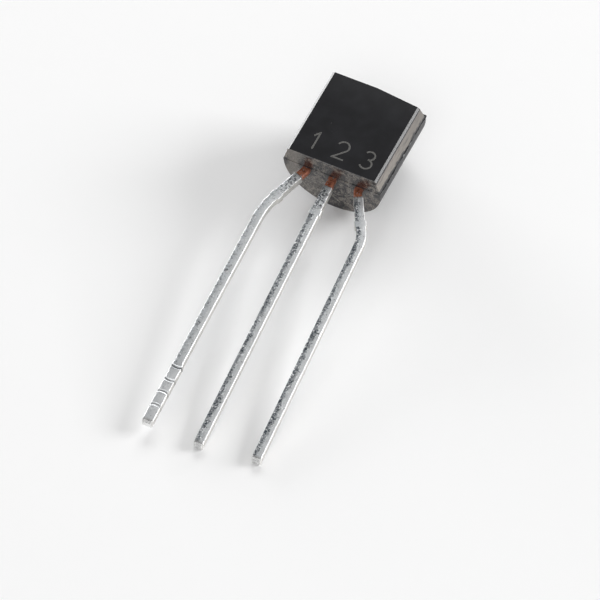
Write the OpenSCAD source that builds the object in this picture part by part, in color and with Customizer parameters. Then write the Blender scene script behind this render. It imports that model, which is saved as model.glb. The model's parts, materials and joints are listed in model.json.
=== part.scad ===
// Three-lead moulded transistor, round back and flat front.
// It lies as it comes to rest: flat face up, on the edge of its round back and the tips of two leads.
// Axes: +Z up, +Y from the lead tips towards the closed end, +X to the emitter lead's side.
// Origin: on the surface it lies on, under the middle of its outline.

/* [Moulding] */
// Width across the moulding at the parting line
body_w = 4.68; // [4.0:0.01:5.65]
// Length of the moulding at the parting line
body_l = 4.65; // [3.85:0.05:5.4]
// From the middle of the lead strip to the flat face
flat_height = 0.95; // [0.85:0.01:1.3]
// How far each side leans in between the parting line and the flat face's bevel
side_lean = 0.2; // [0.05:0.01:0.3]
// How far the narrow bevel beside the flat face runs in
bevel_in = 0.09; // [0.04:0.01:0.15]
// How far the narrow bevel drops below the flat face
bevel_drop = 0.17; // [0.08:0.01:0.3]
// Draft of the two end faces, in degrees
end_draft = 3; // [1:0.5:5]
// How far the parting-line flash stands out
flash_out = 0.025; // [0.01:0.005:0.05]
// Thickness of the parting-line flash
flash_t = 0.03; // [0.02:0.005:0.06]
// Width of the broken gate stub on the closed end
gate_w = 0.9; // [0.5:0.1:1.4]
// Height of the gate stub
gate_h = 0.24; // [0.15:0.01:0.35]
// How far the gate stub stands out of the closed end
gate_out = 0.06; // [0.03:0.01:0.15]
// Diameter of the ejector-pin mark on the round back
ejector_d = 1.2; // [0.8:0.1:1.6]
// Depth of the ejector-pin mark below the back's highest line
ejector_depth = 0.12; // [0.1:0.01:0.16]
// How far the flat face's corner is worn back at the closed end
runoff = 0.2; // [0.02:0.01:0.25]
// Lean of that worn corner, in degrees
runoff_lean = 14; // [8:1:20]

/* [Lead strip] */
// How far the lead strip sits off the middle of the moulding
strip_shift = 0.06; // [0:0.01:0.12]
// Lead spacing where the leads leave the moulding
pitch = 1.27; // [1.15:0.01:1.5]
// Width of the bare copper strip
strip_w = 0.40; // [0.34:0.01:0.5]
// Thickness of the bare copper strip
strip_t = 0.34; // [0.28:0.01:0.42]
// Thickness of the solder coat on every face
coat = 0.025; // [0.01:0.005:0.05]
// Length of bare copper left between the moulding and the coat
bare_l = 0.5; // [0.35:0.05:0.8]
// Distance from the moulding to the sheared tie-bar stubs
stub_at = 1.9; // [1.4:0.05:2.2]
// Length of each tie-bar stub along its lead
stub_l = 0.3; // [0.2:0.02:0.5]
// How far each stub stands out of its lead's edge
stub_out = 0.05; // [0.02:0.01:0.1]

/* [Formed leads] */
// How far the collector lead reaches from the moulding
collector_reach = 14.15; // [12:0.05:16]
// How far the base lead reaches from the moulding
base_reach = 14.2; // [12:0.05:16]
// How far the emitter lead reaches from the moulding
emitter_reach = 13.95; // [12:0.05:16]
// Angle at which the collector lead spreads outwards
collector_spread = 19; // [10:1:28]
// Angle at which the emitter lead spreads outwards
emitter_spread = 30; // [10:1:34]
// Inside radius at which the collector lead is bent back straight
collector_bend_r = 3; // [1.5:0.1:4]
// Inside radius at which the emitter lead is bent back straight
emitter_bend_r = 1.1; // [0.8:0.1:3]
// From the collector lead's tie-bar stub to where that bend starts
collector_past_stub = 0.05; // [0.02:0.01:0.5]
// From the emitter lead's tie-bar stub to where that bend starts
emitter_past_stub = 0.3; // [0.02:0.01:0.6]
// Sideways lean of the straight part of the collector lead, in degrees
collector_lean = 1.5; // [0:0.1:4]
// Sideways lean of the base lead, in degrees
base_lean = 2.5; // [0:0.1:4]
// Sideways lean of the straight part of the emitter lead, in degrees
emitter_lean = 3.5; // [0:0.1:4]
// Downward set of the collector lead, in degrees
collector_dip = 2.6; // [1:0.1:4]
// Downward set of the base lead, in degrees
base_dip = 3.0; // [1:0.1:4]
// Downward set of the emitter lead, in degrees
emitter_dip = 2.1; // [1:0.1:4]
// Length of the plier-flattened end of the collector lead
crimp_l = 3.1; // [2.5:0.1:4]
// Extra width of the flattened end
crimp_spread = 0.05; // [0.02:0.01:0.1]
// Spacing of the cross grooves on the flattened end
groove_pitch = 0.69; // [0.55:0.01:0.8]
// How much thinner the flattened end is
crimp_thin = 0.03; // [0.01:0.01:0.06]
// Depth of each cross groove
groove_depth = 0.03; // [0.01:0.005:0.06]

/* [Frame inside the moulding] */
// Where the die paddle starts above the lead face
paddle_start = 2.1; // [1.9:0.05:2.3]
// Cover of moulding between the paddle and the closed end
end_cover = 0.8; // [0.5:0.05:1]
// How far the paddle runs past the middle of the moulding
paddle_past = 0.45; // [0.2:0.05:0.5]
// Gap between the paddle and the bonding posts
post_gap = 0.3; // [0.2:0.01:0.4]
// Width of the base lead's bonding post
base_post_w = 0.9; // [0.6:0.05:1.1]
// Length of the base lead's bonding post
base_post_l = 0.55; // [0.4:0.05:0.7]
// Width of the emitter lead's bonding post
emitter_post_w = 0.85; // [0.6:0.05:0.95]
// Length of the emitter lead's bonding post
emitter_post_l = 1.0; // [0.7:0.05:1.2]
// Radius of the round keying notches in the lead edges
key_r = 0.09; // [0.06:0.01:0.12]
// Distance of the keying notches from the lead face
key_at = 0.55; // [0.4:0.05:0.7]
// Diameter of the keying hole in the paddle
key_hole_d = 0.5; // [0.3:0.05:0.6]

/* [Die and bond wires] */
// Side of the square silicon die
die_side = 0.6; // [0.4:0.05:0.8]
// Thickness of the die
die_t = 0.18; // [0.12:0.01:0.25]
// Thickness of the bonding layer under the die
attach_t = 0.03; // [0.02:0.005:0.05]
// How far the bonding layer spreads past the die
attach_past = 0.06; // [0.03:0.01:0.1]
// Diameter of the gold bond wire
wire_d = 0.05; // [0.04:0.005:0.08]
// Diameter of the ball where a wire meets the die
ball_d = 0.12; // [0.1:0.01:0.16]
// Height of that ball
ball_h = 0.04; // [0.03:0.005:0.06]
// Diameter of the flattened stitch where a wire meets its post
stitch_d = 0.13; // [0.1:0.01:0.18]
// Height of the stitch
stitch_h = 0.03; // [0.02:0.005:0.05]
// Rise of each wire loop above the line between its ends
loop_rise = 0.27; // [0.15:0.01:0.3]

/* [Node] */
// Node to build, or all

/* [Hidden] */
$fn = 96;
back_r = body_w / 2;
half_w = body_w / 2;
part_z = strip_t / 2;
bevel_z = flat_height - bevel_drop;
bevel_half = half_w - side_lean;
flat_half = bevel_half - bevel_in;
flat_drawn = (flat_height - part_z) * tan(end_draft);
back_drawn = (back_r + part_z) * tan(end_draft);
lead_w = strip_w + 2 * coat;
lead_t = strip_t + 2 * coat;
exit_r = 0.6;
dip_r = 1.2;
groove_r = 0.06;
groove_from = 0.85;
groove_z = groove_r - crimp_thin - groove_depth;
trim = 0.5;
lap = 0.1;

// The paddle, the posts and the die
paddle_end = body_l - end_cover;
paddle_left = -pitch - strip_w / 2 - 0.05;
paddle_right = paddle_past;
base_post_end = paddle_start - post_gap;
emitter_post_left = paddle_right + post_gap;
emitter_post_start = paddle_start - 0.2;
die_x = paddle_right - 0.2 - die_side / 2;
die_y = (paddle_start + paddle_end) / 2;
strip_top = strip_t / 2;
die_base = strip_top + attach_t;
die_top = die_base + die_t;
base_pad = [die_x - 0.12, die_y - 0.16];
emitter_pad = [die_x + 0.14, die_y + 0.08];
base_stitch = [-0.05, base_post_end - base_post_l / 2];
emitter_stitch = [emitter_post_left + emitter_post_w / 2, emitter_post_start + emitter_post_l * 0.6];
key_hole_x = paddle_left + 0.45;
key_hole_y = die_y + 0.05;

// Stations along the middle of a lead: [x, y, heading, half of the width there], seen from above.
// Headings turn from straight away from the moulding (0) towards +X.
steps = 10;
function arc_at(r, a0, a1, i) = a0 + (a1 - a0) * i / steps;
function arc_x(r, a0, a) = r * (cos(a0) - cos(a)) * sign(a - a0);
function arc_y(r, a0, a) = -r * (sin(a) - sin(a0)) * sign(a - a0);
function arc(x, y, r, a0, a1, half) =
    [for (i = [0 : steps])
        let (a = arc_at(r, a0, a1, i))
            [x + (i == 0 ? 0 : arc_x(r, a0, a)), y + (i == 0 ? 0 : arc_y(r, a0, a)), a, half]];
function along(st, len, half) =
    [st[0] + len * sin(st[2]), st[1] - len * cos(st[2]), st[2], half];
function last(list) = list[len(list) - 1];
function left_edge(st) = [st[0] - st[3] * cos(st[2]), st[1] - st[3] * sin(st[2])];
function right_edge(st) = [st[0] + st[3] * cos(st[2]), st[1] + st[3] * sin(st[2])];
function outline(list) =
    concat([for (st = list) left_edge(st)],
           [for (i = [len(list) - 1 : -1 : 0]) right_edge(list[i])]);

// A lead's bare copper, then its solder-coated length
strip_half = strip_w / 2;
lead_half = lead_w / 2;
stub_half = lead_half + stub_out;
crimp_half = lead_half + crimp_spread / 2;
function exit_arc(x, a) = arc(x, 0, exit_r, 0, a, strip_half);
function exit_l(a) = exit_r * abs(a) * PI / 180;
function past_exit(x, a, l, half) = along(last(exit_arc(x, a)), l - exit_l(a), half);
function copper_path(x, a) =
    concat([[x, lap, 0, strip_half]], exit_arc(x, a), [past_exit(x, a, bare_l + lap, strip_half)]);
function stub_path(x, a) =
    [past_exit(x, a, bare_l, lead_half),
     past_exit(x, a, stub_at - stub_l / 2, lead_half), past_exit(x, a, stub_at - stub_l / 2, stub_half),
     past_exit(x, a, stub_at + stub_l / 2, stub_half), past_exit(x, a, stub_at + stub_l / 2, lead_half)];
function bend(x, a, past_stub, br, lean) =
    let (p = past_exit(x, a, stub_at + stub_l / 2 + past_stub, lead_half))
        arc(p[0], p[1], br + lead_half, a, lean, lead_half);
function to_tip(st, reach, back, half) = along(st, (reach + st[1]) / cos(st[2]) - back, half);

collector_bend = bend(-pitch, -collector_spread, collector_past_stub, collector_bend_r, collector_lean);
collector_copper = copper_path(-pitch, -collector_spread);
base_copper = copper_path(0, base_lean);
emitter_copper = copper_path(pitch, emitter_spread);
collector_path = concat(
    stub_path(-pitch, -collector_spread),
    collector_bend,
    [to_tip(last(collector_bend), collector_reach, crimp_l, lead_half),
     to_tip(last(collector_bend), collector_reach, crimp_l, crimp_half),
     to_tip(last(collector_bend), collector_reach, 0, crimp_half)]);
base_path = concat(
    stub_path(0, base_lean),
    [to_tip(past_exit(0, base_lean, bare_l, lead_half), base_reach, 0, lead_half)]);
emitter_bend = bend(pitch, emitter_spread, emitter_past_stub, emitter_bend_r, emitter_lean);
emitter_path = concat(
    stub_path(pitch, emitter_spread),
    emitter_bend,
    [to_tip(last(emitter_bend), emitter_reach, 0, lead_half)]);

// How far the strip's middle has dropped at a distance d from the lead face, for a set of a degrees
function drop(d, a) =
    d < dip_r * sin(a) ? dip_r - sqrt(dip_r * dip_r - d * d)
                       : dip_r * (1 - cos(a)) + (d - dip_r * sin(a)) * tan(a);
function side_edge(a, reach, z) =
    concat([[body_l, z]],
           [for (i = [0 : 4]) [-dip_r * sin(a) * i / 4, z - drop(dip_r * sin(a) * i / 4, a)]],
           [[-(reach + trim), z - drop(reach + trim, a)]]);
function reversed(list) = [for (i = [len(list) - 1 : -1 : 0]) list[i]];
function side_shape(a, reach, t) =
    concat(side_edge(a, reach, t / 2), reversed(side_edge(a, reach, -t / 2)));

// How the part settles: the plane under the back's edge and the lowest corners of two tips
function tip_corner(path, a) =
    let (c = right_edge(last(path)))
        [strip_shift + c[0], c[1], -drop(-c[1], a) - lead_t / 2];
base_tip = tip_corner(base_path, base_dip);
emitter_tip = tip_corner(emitter_path, emitter_dip);
back_edge_y = back_drawn;
ex = emitter_tip[0] - base_tip[0];
ey = emitter_tip[1] - base_tip[1];
ez = emitter_tip[2] - base_tip[2];
cx = 0 - base_tip[0];
cy = back_edge_y - base_tip[1];
cz = 0 - base_tip[2];
function lean_b(s) = (ez * cx / ex - cz + back_r * s) / (cy - ey * cx / ex);
function lean_a(s) = -(ez + ey * lean_b(s)) / ex;
function spread_s(s) = sqrt(1 + lean_a(s) * lean_a(s));
settle_s = spread_s(spread_s(spread_s(1)));
settle_a = lean_a(settle_s);
settle_b = lean_b(settle_s);
roll = -atan(settle_a);
tilt = atan(settle_b / sqrt(1 + settle_a * settle_a));

// Height of the lead strip's middle over the surface it lies on, and the middle of its outline
function settled_y(p) = p[1] * cos(tilt) - (p[2] * cos(roll) - p[0] * sin(roll)) * sin(tilt);
function settled_x(p) = p[0] * cos(roll) + p[2] * sin(roll);
rest_z = back_r * cos(tilt) - back_edge_y * sin(tilt);
out_x0 = -back_r;
out_x1 = settled_x([emitter_tip[0], emitter_tip[1], emitter_tip[2] + lead_t]);
out_y0 = settled_y([base_tip[0] - lead_w, base_tip[1] - lead_w * sin(base_lean), base_tip[2] + lead_t]);
out_y1 = max(settled_y([gate_w / 2, body_l + gate_out, part_z - gate_h / 2]),
             (body_l - back_drawn) * cos(tilt) + back_r * sin(tilt));
shift_x = -(out_x0 + out_x1) / 2;
shift_y = -(out_y0 + out_y1) / 2;

module at_rest() {
    translate([shift_x, shift_y, rest_z])
        rotate([tilt, 0, 0])
            rotate([0, roll, 0])
                children();
}

module on_strip() {
    translate([strip_shift, 0, 0])
        children();
}

// A lead outside the moulding: its plan outline, as thick as the strip seen from the side
module formed(path, a, reach, t) {
    intersection() {
        translate([0, 0, -body_w])
            linear_extrude(2 * body_w)
                polygon(outline(path));
        rotate([90, 0, 90])
            translate([0, 0, -2 * body_w])
                linear_extrude(4 * body_w)
                    polygon(side_shape(a, reach, t));
    }
}

// Round keying notches on both edges of the strip inside the moulding
module key_notches() {
    for (side = [-1, 1])
        translate([side * strip_w / 2, key_at, -strip_t])
            cylinder(r = key_r, h = 2 * strip_t);
}

// Flat shapes of the strip inside the moulding
module collector_inside() {
    difference() {
        union() {
            translate([-pitch - strip_w / 2, 0, -strip_t / 2])
                cube([strip_w, paddle_start + trim, strip_t]);
            translate([paddle_left, paddle_start, -strip_t / 2])
                cube([paddle_right - paddle_left, paddle_end - paddle_start, strip_t]);
        }
        translate([-pitch, 0, 0])
            key_notches();
        translate([key_hole_x, key_hole_y, -strip_t])
            cylinder(d = key_hole_d, h = 2 * strip_t);
    }
}

module base_inside() {
    difference() {
        union() {
            translate([-strip_w / 2, 0, -strip_t / 2])
                cube([strip_w, base_post_end - base_post_l + trim / 2, strip_t]);
            translate([-base_post_w / 2, base_post_end - base_post_l, -strip_t / 2])
                cube([base_post_w, base_post_l, strip_t]);
        }
        key_notches();
    }
}

module emitter_inside() {
    difference() {
        union() {
            translate([pitch - strip_w / 2, 0, -strip_t / 2])
                cube([strip_w, emitter_post_start + trim, strip_t]);
            translate([emitter_post_left, emitter_post_start, -strip_t / 2])
                cube([emitter_post_w, emitter_post_l, strip_t]);
        }
        translate([pitch, 0, 0])
            key_notches();
    }
}

// What a plier pressed out of the collector lead's end: a thinned top face and cross grooves
module plier_marks() {
    tip = last(collector_path);
    translate([tip[0], tip[1], -drop(-tip[1], collector_dip) + lead_t / 2])
        rotate([collector_dip, 0, 0])
            rotate([0, 0, tip[2]]) {
                translate([-lead_w, -trim, -crimp_thin])
                    cube([2 * lead_w, crimp_l + trim, lead_t]);
                for (i = [0 : 3])
                    translate([-lead_w, groove_from + i * groove_pitch, groove_z])
                        rotate([0, 90, 0])
                            cylinder(r = groove_r, h = 2 * lead_w);
            }
}

// A gold wire: ball on the die, round loop, stitch on the post
module bond_wire(from, to) {
    flat_l = norm(to - from);
    drop = die_top + ball_h - strip_top - stitch_h;
    chord = sqrt(flat_l * flat_l + drop * drop);
    loop_r = (chord * chord / 4 + loop_rise * loop_rise) / (2 * loop_rise);
    half_a = asin(chord / 2 / loop_r);
    heading = atan2(to[1] - from[1], to[0] - from[0]);
    slope = atan(drop / flat_l);
    translate([from[0], from[1], die_top])
        cylinder(d = ball_d, h = ball_h);
    translate([to[0], to[1], strip_top])
        cylinder(d = stitch_d, h = stitch_h);
    translate([from[0], from[1], die_top + ball_h - wire_d / 4])
        rotate([0, 0, heading])
            rotate([0, slope, 0])
                translate([chord / 2, 0, loop_rise - loop_r])
                    rotate([90, 0, 0])
                        rotate([0, 0, 90 - half_a])
                            rotate_extrude(angle = 2 * half_a)
                                translate([loop_r, 0])
                                    circle(d = wire_d, $fn = 24);
}

module die_block() {
    translate([die_x - die_side / 2, die_y - die_side / 2, die_base])
        cube([die_side, die_side, die_t]);
}

module attach_block() {
    side = die_side + 2 * attach_past;
    translate([die_x - side / 2, die_y - side / 2, strip_top])
        cube([side, side, attach_t]);
}

// Section of the moulding seen along its length
module front_section() {
    polygon([[-half_w, part_z], [-bevel_half, bevel_z], [-flat_half, flat_height],
             [flat_half, flat_height], [bevel_half, bevel_z], [half_w, part_z]]);
}

module back_section() {
    translate([-half_w, 0])
        square([body_w, part_z]);
    intersection() {
        circle(r = back_r);
        translate([-body_w, -body_w])
            square([2 * body_w, body_w]);
    }
}

// Outline of the moulding seen from its side, with the draft of both ends
module side_outline() {
    polygon([[flat_drawn, flat_height], [0, part_z], [back_drawn, -back_r],
             [body_l - back_drawn, -back_r], [body_l, part_z], [body_l - flat_drawn, flat_height]]);
}

// The flat face's corner at the closed end, worn back in a long thin taper
module worn_corner() {
    translate([0, body_l - flat_drawn, flat_height])
        rotate([0, 0, -atan(runoff / flat_half)])
            rotate([runoff_lean, 0, 0])
                translate([-body_w, 0, -body_w])
                    cube([2 * body_w, body_w, 2 * body_w]);
}

module moulding() {
    difference() {
        union() {
            intersection() {
                translate([0, body_l + trim, 0])
                    rotate([90, 0, 0])
                        linear_extrude(body_l + 2 * trim)
                            union() {
                                front_section();
                                back_section();
                            }
                rotate([90, 0, 90])
                    translate([0, 0, -body_w])
                        linear_extrude(2 * body_w)
                            side_outline();
            }
            translate([-half_w - flash_out, -flash_out, part_z - flash_t / 2])
                cube([body_w + 2 * flash_out, body_l + 2 * flash_out, flash_t]);
            translate([-gate_w / 2, body_l - trim, part_z - gate_h / 2])
                cube([gate_w, trim + gate_out, gate_h]);
        }
        translate([0, body_l / 2, -back_r - trim])
            cylinder(d = ejector_d, h = trim + ejector_depth);
        worn_corner();
    }
}

module body() {
    color([0.03, 0.03, 0.035])
        at_rest()
            difference() {
                moulding();
                on_strip() {
                    collector_inside();
                    base_inside();
                    emitter_inside();
                    for (x = [-pitch, 0, pitch])
                        translate([x - strip_w / 2, -trim, -strip_t / 2])
                            cube([strip_w, 2 * trim, strip_t]);
                    attach_block();
                    die_block();
                    bond_wire(base_pad, base_stitch);
                    bond_wire(emitter_pad, emitter_stitch);
                }
            }
}

module collector_lead() {
    color([0.72, 0.73, 0.75])
        at_rest()
            on_strip() {
                collector_inside();
                formed(collector_copper, collector_dip, collector_reach, strip_t);
                difference() {
                    formed(collector_path, collector_dip, collector_reach, lead_t);
                    plier_marks();
                }
            }
}

module base_lead() {
    color([0.72, 0.73, 0.75])
        at_rest()
            on_strip() {
                base_inside();
                formed(base_copper, base_dip, base_reach, strip_t);
                formed(base_path, base_dip, base_reach, lead_t);
            }
}

module emitter_lead() {
    color([0.72, 0.73, 0.75])
        at_rest()
            on_strip() {
                emitter_inside();
                formed(emitter_copper, emitter_dip, emitter_reach, strip_t);
                formed(emitter_path, emitter_dip, emitter_reach, lead_t);
            }
}

module silicon_die() {
    color([0.32, 0.33, 0.38])
        at_rest()
            on_strip()
                die_block();
}

module die_attach() {
    color([0.62, 0.62, 0.6])
        at_rest()
            on_strip()
                attach_block();
}

module base_bond_wire() {
    color([0.9, 0.68, 0.25])
        at_rest()
            on_strip()
                bond_wire(base_pad, base_stitch);
}

module emitter_bond_wire() {
    color([0.9, 0.68, 0.25])
        at_rest()
            on_strip()
                bond_wire(emitter_pad, emitter_stitch);
}

body();
collector_lead();
base_lead();
emitter_lead();
silicon_die();
die_attach();
base_bond_wire();
emitter_bond_wire();
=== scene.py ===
"""A three-lead moulded transistor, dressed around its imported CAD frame."""

import json
import math
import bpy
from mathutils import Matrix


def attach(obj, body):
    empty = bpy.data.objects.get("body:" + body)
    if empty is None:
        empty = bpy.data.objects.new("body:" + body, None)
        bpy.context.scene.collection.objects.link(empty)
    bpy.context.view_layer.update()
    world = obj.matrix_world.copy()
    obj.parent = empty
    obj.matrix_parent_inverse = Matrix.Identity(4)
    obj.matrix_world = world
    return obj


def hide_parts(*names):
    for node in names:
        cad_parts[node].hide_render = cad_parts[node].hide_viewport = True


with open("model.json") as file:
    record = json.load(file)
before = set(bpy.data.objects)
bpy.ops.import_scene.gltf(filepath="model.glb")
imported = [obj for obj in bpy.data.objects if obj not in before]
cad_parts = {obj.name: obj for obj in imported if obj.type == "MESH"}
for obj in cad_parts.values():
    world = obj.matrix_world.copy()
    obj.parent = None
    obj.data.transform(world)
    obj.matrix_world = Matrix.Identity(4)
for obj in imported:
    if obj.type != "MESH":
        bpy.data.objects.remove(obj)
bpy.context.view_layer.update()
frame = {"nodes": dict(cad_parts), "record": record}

from types import SimpleNamespace

import bmesh
import bpy
from bpy.props import FloatProperty, FloatVectorProperty, IntProperty, PointerProperty
from mathutils import Matrix, Quaternion, Vector, noise

bl_info = {
    "name": "Moulded Transistor",
    "version": (1, 0, 0),
    "blender": (4, 5, 0),
    "location": "3D View > Sidebar > Transistor",
    "description": "Builds the moulding, the formed leads and the finishes of a three-lead transistor",
    "category": "Add Mesh",
}

MM = 0.001
SEALED_NODES = ("silicon_die", "die_attach", "base_bond_wire", "emitter_bond_wire")
LEAD_NAMES = ("collector", "base", "emitter")

# Small sizes in millimetres that the panel doesn't offer
SECTION_GAP = 0.004  # least distance between two sections of a lead
COAT_RISE = 0.06  # over which the solder coat comes up to its thickness
STUB_CORNERS = (-0.012, 0.008)  # where a stub's corners start and end, from its half length
STUB_TEAR = 0.07  # how unevenly a stub is sheared, as a share of its stand-out
PRESS_RISE = (-0.02, 0.10)  # where the plier's flat starts, from the flattened end's length
GROOVE_LIP = 0.012  # height of the lips beside a plier groove
LIP_REACH = 1.5  # where a lip ends, in groove radii from the groove's middle
BOW_FADE = 0.16  # over which the bowing dies out beside a groove
ROLL_LENGTH, ROLL_DROP, ROLL_DRAW = 0.14, 0.085, 0.030  # the cutter's roll-over at a lead's tip
TIP_SMEAR = (0.10, 0.24)  # where the smeared solder ends, from the tip
HELD_BACK = 0.1  # from a swept lead's inner end to where the rest of the lead takes over
SEALED_DROP = 0.002  # keeps cut faces off faces that are already cut
GATE_ROOT = 0.3  # how deep the gate stub is rooted in the moulding
FLASH_ROOT = 0.04  # how deep the flash is rooted in the moulding
CUTTER_MARGIN = 0.2  # how far the seam cutter runs past the moulding's ends
STROKE_STEP = 0.03  # spacing of the sections along a number's stroke

ROUNDED_ANGLE = math.radians(17)  # the moulding's edges that turn by more are rounded
SHARP_ANGLE = math.radians(40)  # edges that turn by more are shaded sharp

# Each lamp's name, direction, distance, width, height and radiance
LAMPS = (
    ("right_softbox", (0.80, 0.435, 0.41), 0.75, 0.40, 0.28, 11.0),
    ("left_softbox", (-0.88, 0.47, 0.15), 0.75, 0.42, 0.21, 9.0),
    ("back_softbox", (-0.25, 0.78, 0.57), 0.80, 0.50, 0.32, 4.6),
    ("front_panel", (0.30, -0.72, 0.75), 0.90, 0.60, 0.40, 1.9),
)


# ---------------------------------------------------------------- sizes and colours

def length(name, description, value):
    """A length property, given in millimetres."""
    return FloatProperty(name=name, description=description, default=value * MM, unit="LENGTH", precision=6)


def angle(name, description, degrees):
    """An angle property, given in degrees."""
    return FloatProperty(name=name, description=description, default=math.radians(degrees), subtype="ANGLE")


def colour(name, description, value):
    return FloatVectorProperty(name=name, description=description, default=value, subtype="COLOR",
                               size=3, min=0.0, max=1.0)


def number(name, description, value):
    return FloatProperty(name=name, description=description, default=value)


def count(name, description, value, **limits):
    return IntProperty(name=name, description=description, default=value, **limits)


class MouldingSizes(bpy.types.PropertyGroup):
    """The moulded case, its seams, stubs and marks."""

    width: length("Width", "Width across the moulding at the parting line", 4.68)
    body_length: length("Length", "Length of the moulding at the parting line", 4.65)
    flat_height: length("Flat height", "From the middle of the lead strip to the flat face", 0.95)
    side_lean: length("Side lean", "How far each side leans in up to the bevel", 0.175)
    bevel_in: length("Bevel run", "How far the bevel beside the flat face runs in", 0.115)
    bevel_drop: length("Bevel drop", "How far the bevel drops below the flat face", 0.175)
    shelf_run: length("Shelf run", "How far the bevel's upper facet runs out from the flat face", 0.108)
    shelf_drop: length("Shelf drop", "How far the bevel's upper facet drops", 0.070)
    seam_width: length("Seam width", "Width of the mould insert's seam at the foot of the bevel", 0.05)
    seam_depth: length("Seam depth", "Depth of that seam", 0.03)
    end_draft: angle("End draft", "Draft of both end faces", 3)
    edge_round: length("Edge rounding", "Rounding of the moulded edges", 0.013)
    runoff: length("Worn corner", "How far the flat face's corner is worn back at the closed end", 0.2)
    runoff_lean: angle("Worn corner lean", "Lean of the worn corner", 14)
    gate_width: length("Gate width", "Width of the broken gate stub", 0.9)
    gate_height: length("Gate height", "Height of the broken gate stub", 0.24)
    gate_out: length("Gate stand-out", "How far the gate stub stands out of the closed end", 0.06)
    ejector_diameter: length("Ejector mark", "Diameter of the ejector-pin mark on the round back", 1.2)
    ejector_depth: length("Ejector depth", "Depth of the ejector-pin mark", 0.12)
    flash_out: length("Flash", "How far the parting-line flash stands out", 0.025)
    flash_burr: length("Burr", "How far the flash stands out at its raggedest, on the right side", 0.055)
    flash_thickness: length("Flash thickness", "Thickness of the parting-line flash", 0.03)
    back_steps: count("Back steps", "Steps round the back", 72, min=12)


class StripSizes(bpy.types.PropertyGroup):
    """The strip that all three leads are made of, and its solder coat."""

    shift: length("Strip shift", "How far the lead strip sits off the moulding's middle", 0.06)
    pitch: length("Lead spacing", "Spacing of the leads where they leave the moulding", 1.27)
    width: length("Copper width", "Width of the bare copper strip", 0.40)
    thickness: length("Copper thickness", "Thickness of the bare copper strip", 0.34)
    coat: length("Coat", "Thickness of the solder coat on every face", 0.025)
    bare: length("Bare copper", "Copper left bare between the moulding and the coat", 0.5)
    necking: number("Necking", "How much the bare copper is drawn in", 0.12)
    stub_at: length("Stub distance", "Distance from the moulding to the sheared stubs", 1.9)
    stub_length: length("Stub length", "Length of each sheared stub along its lead", 0.3)
    stub_out: length("Stub stand-out", "How far each stub stands out of its lead's edge", 0.05)
    exit_radius: length("Exit radius", "Radius of the bend at the moulding", 0.6)
    dip_radius: length("Set radius", "Radius of the downward set at the moulding", 1.2)
    anchor: length("Anchor", "Length of formed strip that runs inside the moulding", 0.3)
    step: length("Step", "Spacing of the sections along a lead", 0.05)
    waviness: length("Solder waviness", "How much the solder surface waves", 0.016)
    section_points: count("Section points", "Points round the strip", 48, min=8)


class LeadForm(bpy.types.PropertyGroup):
    """One lead's own bends, and how its solder looks."""

    place: count("Place", "Place in the row, counted from the middle", 0, min=-1, max=1)
    spread: angle("Spread", "Heading at which the lead leaves the moulding", 0)
    lean: angle("Lean", "Heading of the lead's straight part", 0)
    dip: angle("Set", "Downward set of the lead", 0)
    reach: length("Reach", "How far the lead reaches from the moulding", 14)
    bend_radius: length("Bend radius", "Inside radius of the bend back", 3)
    past_stub: length("Bend start", "From the sheared stub to where that bend starts", 0.05)
    crimp_length: length("Flattened end", "Length of the plier-flattened end", 0)
    # The dark grain is partly a painted reflection of dark surroundings
    spangle_and_reflection: number("Spangle", "How dark-grained the left of the top face is", 0.9)
    blotch: number("Blotches", "How blotched the solder is before the stub", 0.8)


class PlierMarks(bpy.types.PropertyGroup):
    """What the plier did to a flattened end."""

    spread: length("Spread", "Extra width of the flattened end", 0.05)
    thin: length("Thinning", "How much thinner the flattened end is", 0.03)
    groove_count: count("Grooves", "Number of cross grooves", 4, min=0)
    groove_from: length("First groove", "Distance of the first groove from the tip", 0.85)
    groove_pitch: length("Groove spacing", "Spacing of the cross grooves", 0.69)
    groove_radius: length("Groove radius", "Radius of the deepest cross groove", 0.060)
    groove_fade: number("Groove fade", "How much shallower the last one is", 0.4)
    groove_bow: length("Groove bow", "How far each groove bows along the lead", 0.06)


class Marking(bpy.types.PropertyGroup):
    """The pin numbers on the flat face."""

    height: length("Height", "Height of the pin numbers", 0.92)
    stroke: length("Stroke", "Width of a stroke", 0.080)
    raised: length("Raised", "How far a stroke stands proud", 0.003)
    from_edge: length("From the edge", "From the lead face to the foot of the numbers", 0.48)


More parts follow.
